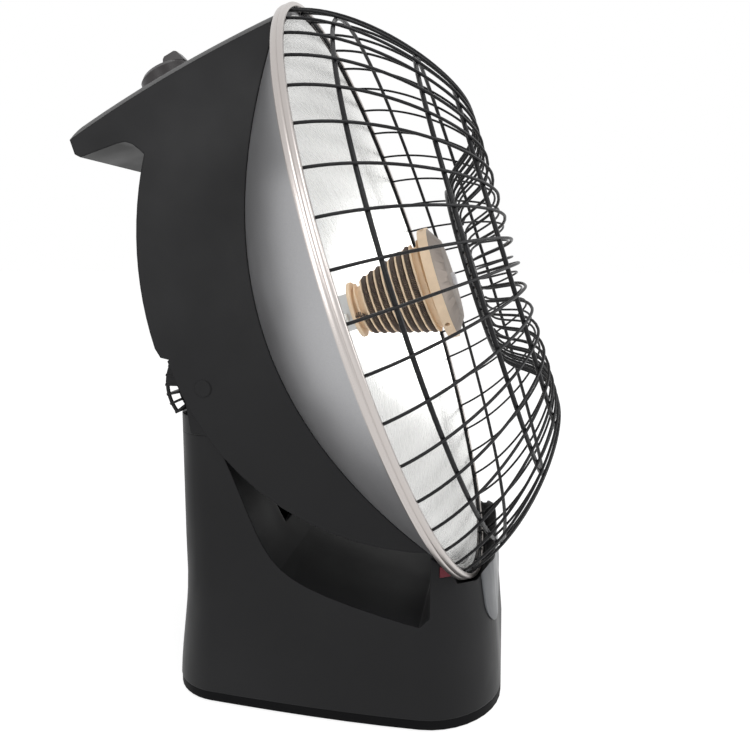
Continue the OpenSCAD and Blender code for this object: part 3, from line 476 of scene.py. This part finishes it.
def lathe(profile, steps):
    """A closed profile of (radius, place) points, turned round the axis."""
    verts = [around(r, w, a) for w in circle(steps) for r, a in profile]
    return verts, wall(steps, len(profile), closed=True)


def rounded(profile, radius, steps=3):
    """The closed profile with every corner rounded off, by at most radius."""
    out = []
    count = len(profile)
    for i in range(count):
        here = Vector(profile[i])
        before, after = Vector(profile[i - 1]) - here, Vector(profile[(i + 1) % count]) - here
        if math.pi - before.angle(after) < ROUNDED_TURN:
            out.append(tuple(here))
            continue
        cut = min(radius, before.length * ROUNDED_SHARE, after.length * ROUNDED_SHARE)
        start, end = here + before.normalized() * cut, here + after.normalized() * cut
        for k in range(steps + 1):
            t = k / steps
            out.append(tuple(start * (1 - t) ** 2 + here * 2 * t * (1 - t) + end * t * t))
    return out


def domed_end(section, radius, side):
    point, along, across, up = section
    return [(point + along * radius * reach * side, along, across * share, up * share)
            for share, reach in DOMED_END]


def tube(points, radius, sides, closed=False, domed=False):
    """A round tube along points; an open one's ends are closed off, and domed where asked."""
    points = [Vector(p) for p in points]
    count = len(points)
    normal = None
    sections = []
    for i, point in enumerate(points):
        before = points[i - 1] if closed or i else point
        after = points[(i + 1) % count] if closed or i < count - 1 else point
        along = (after - before).normalized()
        if normal is None:
            normal = along.orthogonal().normalized()
        normal = (normal - along * normal.dot(along)).normalized()
        sections.append((point, along, normal, along.cross(normal)))
    if domed:
        first, last = domed_end(sections[0], radius, -1), domed_end(sections[-1], radius, 1)
        sections = first[::-1] + sections + last
    verts = [point + across * (radius * math.cos(w)) + up * (radius * math.sin(w))
             for point, _, across, up in sections for w in circle(sides)]
    faces = wall(len(sections), sides, closed)
    return verts, faces if closed else faces + ends(len(sections), sides)


def bezier(p, t):
    s = 1 - t
    return tuple(s ** 3 * a + 3 * s * s * t * b + 3 * s * t * t * c + t ** 3 * d
                 for a, b, c, d in zip(*p))


def share_of(value):
    return min(max(value, 0), 1)


def softened(node, width):
    """A copy of a CAD node's mesh, its sharp edges rounded by width mm, or only smoothed for 0."""
    bm = bmesh.new()
    bm.from_mesh(frame["nodes"][node].data)
    bmesh.ops.remove_doubles(bm, verts=bm.verts, dist=SAME_POINT)
    bmesh.ops.dissolve_limit(bm, angle_limit=math.radians(SAME_FACE), verts=bm.verts,
                             edges=bm.edges, use_dissolve_boundaries=False)
    if width:
        limit = math.radians(EDGE_ANGLE)
        edges = [e for e in bm.edges if len(e.link_faces) == 2 and e.calc_face_angle(0.0) > limit]
        bmesh.ops.bevel(bm, geom=edges, offset=width * MM, offset_type="OFFSET",
                        segments=EDGE_STEPS, profile=0.5, affect="EDGES", clamp_overlap=True,
                        harden_normals=False)
    mesh = bpy.data.meshes.new(node)
    bm.to_mesh(mesh)
    bm.free()
    flat = stand_for(node, mesh, CAD_SHARP).modifiers.new("flat_faces", "WEIGHTED_NORMAL")
    flat.mode = "FACE_AREA"
    flat.weight = 100
    flat.keep_sharp = True


# ---- dish ----
BOWL_R, BOWL_DEPTH, BOWL_RIM_BACK, BOWL_T = 180, 83.4, 3.6, 1
REFLECTOR_R, REFLECTOR_DEPTH, REFLECTOR_RIM_BACK, REFLECTOR_T = 177, 77, 1, 0.8
DISH_HOLE_R = 21
TRIM_R, TRIM_T, TRIM_FRONT, TRIM_BACK, TRIM_LIP_R = 183.4, 0.8, 2, 4.6, 180.6
TRIM_REAR_LIP_R = BOWL_R + 1.4
# Clearance of the bowl's flange inside the trim ring
FLANGE_GAP = 0.2
# Steps round the axis, and along the outer (or front) and the other face
BOWL_STEPS, BOWL_OUTER_STEPS, BOWL_INNER_STEPS = 192, 60, 40
REFLECTOR_STEPS, REFLECTOR_FRONT_STEPS, REFLECTOR_BACK_STEPS = 256, 96, 48
TRIM_STEPS = 224


def parabola(r, rim_r, depth, rim_back, t):
    """Place along the axis of a dish's face at radius r, or of the face t away from it."""
    q = rim_r ** 2 / depth
    return r * r / q - depth - rim_back + t * math.sqrt(1 + (2 * r / q) ** 2)


def bowl_a(r, t=0):
    return parabola(r, BOWL_R, BOWL_DEPTH, BOWL_RIM_BACK, t)


def reflector_a(r, t=0):
    return parabola(r, REFLECTOR_R, REFLECTOR_DEPTH, REFLECTOR_RIM_BACK, t)


def radii(start, end, steps):
    return [start + (end - start) * i / steps for i in range(steps + 1)]


def make_bowl():
    """The bowl, with a flat flange that bends out of its rim with a small round."""
    flange = TRIM_R - TRIM_T - FLANGE_GAP
    seat = bowl_a(BOWL_R)
    outer = [(r, bowl_a(r)) for r in radii(DISH_HOLE_R, BOWL_R - 1.2, BOWL_OUTER_STEPS)]
    rim = [
        (BOWL_R - 0.2, seat - 0.15), (BOWL_R + 0.6, seat), (flange, seat),
        (flange, seat + BOWL_T), (BOWL_R - 0.8, seat + BOWL_T),
    ]
    inner = [(r, bowl_a(r, BOWL_T)) for r in radii(BOWL_R - 2.4, DISH_HOLE_R, BOWL_INNER_STEPS)]
    stand_for_shape("dish_bowl", lathe(outer + rim + inner, BOWL_STEPS))


def make_reflector():
    """The polished face, with a skirt that reaches down to the bowl."""
    skirt_end = bowl_a(REFLECTOR_R, BOWL_T) + 0.1
    skirt_r = REFLECTOR_R - REFLECTOR_T
    rim_a = reflector_a(REFLECTOR_R)
    face = [(r, reflector_a(r))
            for r in radii(DISH_HOLE_R, REFLECTOR_R - 0.6, REFLECTOR_FRONT_STEPS)]
    rim = [
        (REFLECTOR_R - 0.15, rim_a - 0.1), (REFLECTOR_R, rim_a - 0.6),
        (REFLECTOR_R, skirt_end), (skirt_r, skirt_end),
    ]
    back = [(r, reflector_a(r, -REFLECTOR_T))
            for r in radii(skirt_r - 0.4, DISH_HOLE_R, REFLECTOR_BACK_STEPS)]
    stand_for_shape("reflector", lathe(face + rim + back, REFLECTOR_STEPS))


def make_trim_ring():
    """Rolled band: a round lip in front, a shallow groove and a turned-in rear lip."""
    front_lip = [(0, TRIM_FRONT - 0.35), (0.25, TRIM_FRONT - 0.05), (0.9, TRIM_FRONT)]
    # Distance inside the band's outer radius, and place along the axis
    band = [
        (1.1, TRIM_FRONT), (0.45, TRIM_FRONT - 0.3), (0.1, TRIM_FRONT - 0.9), (0, TRIM_FRONT - 1.7),
        (0.05, -0.6), (0.4, -1.0), (0.45, -1.4), (0.1, -1.8), (0, -2.4), (0, -3.3), (0.2, -4.1),
        (0.8, -TRIM_BACK),
    ]
    rear_lip = [(TRIM_REAR_LIP_R + 0.3, -TRIM_BACK), (TRIM_REAR_LIP_R, -TRIM_BACK + 0.3)]
    inside_r, inside_back = TRIM_R - TRIM_T, -TRIM_BACK + TRIM_T
    inside = [
        (TRIM_REAR_LIP_R, inside_back), (inside_r - 0.5, inside_back),
        (inside_r, inside_back + 0.4), (inside_r, TRIM_FRONT - TRIM_T),
        (TRIM_LIP_R, TRIM_FRONT - TRIM_T),
    ]
    profile = [(TRIM_LIP_R + r, a) for r, a in front_lip] + [(TRIM_R - d, a) for d, a in band]
    stand_for_shape("trim_ring", lathe(profile + rear_lip + inside, TRIM_STEPS))


# ---- guard ----
WIRE_N, WIRE_R, RING_R, WELD = 48, 0.8, 1.25, 0.25
WIRE_FIRST = math.radians(1.5)
GUARD_DEPTH, CREST_R, DIMPLE_R, DIMPLE_DEPTH, HUB_R = 77.5, 94.5, 53.5, 26.5, 16
RIM_WIRE_GAP = 0.05
RIM_WIRE_A = TRIM_FRONT - TRIM_T - RING_R - RIM_WIRE_GAP
RIM_WIRE_R = TRIM_R - TRIM_T - RING_R - RIM_WIRE_GAP
WIRE_END_R = RIM_WIRE_R - RING_R - WIRE_R + WELD
# A ring's middle lies this far under the middle of the wires
RING_UNDER = WIRE_R + RING_R - WELD

# The line of a wire, as (place along the axis, radius): two curves, and for every second wire the
# run to the hub
DOME = [(-0.5, WIRE_END_R + 0.4), (37.5, WIRE_END_R - 11),
        (GUARD_DEPTH, CREST_R + 21.5), (GUARD_DEPTH, CREST_R)]
DIMPLE = [(GUARD_DEPTH, CREST_R), (GUARD_DEPTH, CREST_R - 27),
          (GUARD_DEPTH - DIMPLE_DEPTH + 3, DIMPLE_R + 18.5), (GUARD_DEPTH - DIMPLE_DEPTH, DIMPLE_R)]
HUB_A = GUARD_DEPTH - DIMPLE_DEPTH - 1.5
HUB_RUN = [(HUB_A + 0.9, DIMPLE_R - 7), (HUB_A + 0.2, DIMPLE_R - 14), (HUB_A, HUB_R)]
DOME_STEPS, DIMPLE_STEPS = 26, 14
WIRE_SIDES, RING_SIDES, RING_STEPS = 10, 14, 160
# Where the dome's rings lie, as shares of its curve
RING_PLACES = {"guard_ring_outer": 0.205, "guard_ring_middle": 0.555, "guard_ring_inner": 0.8}


def make_guard_wires():
    line = [(RIM_WIRE_A - RING_R, WIRE_END_R)]
    line += [bezier(DOME, i / DOME_STEPS) for i in range(DOME_STEPS + 1)]
    line += [bezier(DIMPLE, i / DIMPLE_STEPS) for i in range(1, DIMPLE_STEPS + 1)]
    wires = []
    for i, w in enumerate(WIRE_FIRST + angle for angle in circle(WIRE_N)):
        points = [around(r, w, a) for a, r in (line if i % 2 else line + HUB_RUN)]
        wires.append(tube(points, WIRE_R, WIRE_SIDES, domed=True))
    stand_for_shape("guard_wires", joined(wires), WIRE_SHARP)


def make_guard_rings():
    places = {"guard_rim_wire": (RIM_WIRE_R, RIM_WIRE_A)}
    for name, t in RING_PLACES.items():
        here = bezier(DOME, t)
        ahead, behind = bezier(DOME, min(t + 0.01, 1)), bezier(DOME, t - 0.01)
        da, dr = ahead[0] - behind[0], ahead[1] - behind[1]
        drop = RING_UNDER / math.hypot(da, dr)
        places[name] = (here[1] - da * drop, here[0] + dr * drop)
    places["guard_ring_dimple"] = (DIMPLE_R, GUARD_DEPTH - DIMPLE_DEPTH - RING_UNDER)
    places["guard_ring_hub"] = (HUB_R + RING_R / 2, HUB_A - RING_UNDER)
    for node, (r, a) in places.items():
        points = [around(r, w, a) for w in circle(RING_STEPS)]
        stand_for_shape(node, tube(points, RING_R, RING_SIDES, closed=True), WIRE_SHARP)


# ---- heating element ----
COIL_LOOPS, COIL_D, COIL_SMALL, COIL_LARGE = 7.5, 3.6, 17.2, 28.8
FORMER_BACK, COLLAR_T, CAP_FRONT, BOLT_R = 31, 2.5, 24, 2.5
COLLAR_A = COLLAR_T - FORMER_BACK
BEND_R = COIL_D * 0.7
COIL_FROM, COIL_TO = COLLAR_A + COIL_D + BEND_R, CAP_FRONT - COIL_D - BEND_R
COIL_START = math.radians(200)
COIL_TURN = TURN * COIL_LOOPS
PITCH = (COIL_TO - COIL_FROM) / COIL_LOOPS
LOOP_STEPS, BEND_STEPS = 72, 8

# The resistance wire: its radius, the pitch of its fine turns, points to a turn, sides
FINE_R, FINE_PITCH, FINE_POINTS, FINE_SIDES = 0.36, 1.2, 11, 5

# The former's rib: height, half width, width of its rounded edge, distance from the former's ends
RIB_H, RIB_HALF, RIB_EDGE, RIB_FROM_END = 3.1, 0.95, 0.28, 1.2
FORMER_GAP, FORMER_ROWS, FORMER_STEPS = 0.3, 190, 120
COLLAR_R, COLLAR_BORE_R = COIL_SMALL + 1.6, BOLT_R + 0.3
COLLAR_ROUND, COLLAR_STEPS = 0.6, 96


def coil_line():
    """The middle line of the loops, with a bend into the collar and one into the cap."""
    lead_in, lead_out = BEND_R / COIL_SMALL, BEND_R / COIL_LARGE
    coil_end = COIL_START + COIL_TURN
    bends = [math.pi / 2 * i / BEND_STEPS for i in range(BEND_STEPS + 1)]
    points = [around(COIL_SMALL, COIL_START - lead_in, COLLAR_A)]
    points += [around(COIL_SMALL, COIL_START - (1 - math.sin(w)) * lead_in,
                      COIL_FROM - BEND_R * math.cos(w)) for w in bends[:-1]]
    steps = int(COIL_LOOPS * LOOP_STEPS)
    for i in range(steps + 1):
        s = i / steps
        points.append(around(COIL_SMALL + (COIL_LARGE - COIL_SMALL) * s,
                             COIL_START + COIL_TURN * s,
                             COIL_FROM + (COIL_TO - COIL_FROM) * s))
    points += [around(COIL_LARGE, coil_end + math.sin(w) * lead_out,
                      COIL_TO + BEND_R * (1 - math.cos(w))) for w in bends[1:]]
    points.append(around(COIL_LARGE, coil_end + lead_out, CAP_FRONT))
    return points


def make_heating_coil():
    """The resistance wire itself: a fine coil that follows the loops."""
    line = coil_line()
    lengths = [0.0]
    for a, b in zip(line, line[1:]):
        lengths.append(lengths[-1] + (b - a).length)
    count = int(lengths[-1] / FINE_PITCH * FINE_POINTS)
    middle = COIL_D / 2 - FINE_R
    points, k = [], 0
    for i in range(count + 1):
        at = lengths[-1] * i / count
        while k < len(line) - 2 and lengths[k + 1] < at:
            k += 1
        t = (at - lengths[k]) / (lengths[k + 1] - lengths[k])
        here = line[k].lerp(line[k + 1], t)
        along = (line[min(k + 2, len(line) - 1)] - line[max(k - 1, 0)]).normalized()
        out = Vector((here.x, here.y, 0))
        out = (out - along * out.dot(along)).normalized()
        w = TURN * at / FINE_PITCH
        side = along.cross(out)
        points.append(here + out * (middle * math.cos(w)) + side * (middle * math.sin(w)))
    stand_for_shape("heating_coil", tube(points, FINE_R, FINE_SIDES), WIRE_SHARP)


def former_radius(a, w):
    """Radius of the cone at place a and angle w, with the rib midway between the coil's loops."""
    slope = (COIL_LARGE - COIL_SMALL) / (COIL_TO - COIL_FROM)
    body = COIL_SMALL + slope * (a - COIL_FROM) - COIL_D / 2 - FORMER_GAP
    loop = (a - COIL_FROM) / PITCH - (w - COIL_START) / TURN
    off = abs((loop - math.floor(loop)) - 0.5) * PITCH
    rise = share_of((RIB_HALF - off) / RIB_EDGE)
    fade = share_of(a - COLLAR_A - RIB_FROM_END) * share_of(CAP_FRONT - RIB_FROM_END - a)
    return body + RIB_H * rise * rise * (3 - 2 * rise) * fade


def make_element_former():
    """Ceramic cone with a rib that runs between the loops of the coil, and its collar."""
    verts = [around(former_radius(a, w), w, a)
             for a in radii(COLLAR_A, CAP_FRONT, FORMER_ROWS) for w in circle(FORMER_STEPS)]
    rows = FORMER_ROWS + 1
    cone = verts, wall(rows, FORMER_STEPS, closed=False) + ends(rows, FORMER_STEPS)
    profile = [(COLLAR_BORE_R, -FORMER_BACK), (COLLAR_R, -FORMER_BACK),
               (COLLAR_R, COLLAR_A), (COLLAR_BORE_R, COLLAR_A)]
    collar = lathe(rounded(profile, COLLAR_ROUND), COLLAR_STEPS)
    stand_for_shape("element_former", joined([cone, collar]), FORMER_SHARP)


# Width of the rounding, in mm, on the edges of the CAD nodes whose shape is kept
SOFT_EDGES = {
    "housing": 0, "base_shell": 0.8, "base_plate": 0.7, "neck_cap": 0.8, "neck_louvre": 0.25,
    "front_plate": 0.2, "indicator_lens": 0.5, "knob": 0.8, "element_cap": 0.5,
    "element_disc": 0.5, "element_bracket": 0.25, "terminal_tubes": 0.4, "rubber_feet": 0.3,
    "cord_inlet": 0.5, "cross_bar": 0.4,
}

make_camera()
make_stage()
MATERIALS = make_materials()
dress_nodes()
make_bowl()
make_reflector()
make_trim_ring()
make_guard_wires()
make_guard_rings()
make_heating_coil()
make_element_former()
for node, width in SOFT_EDGES.items():
    softened(node, width)
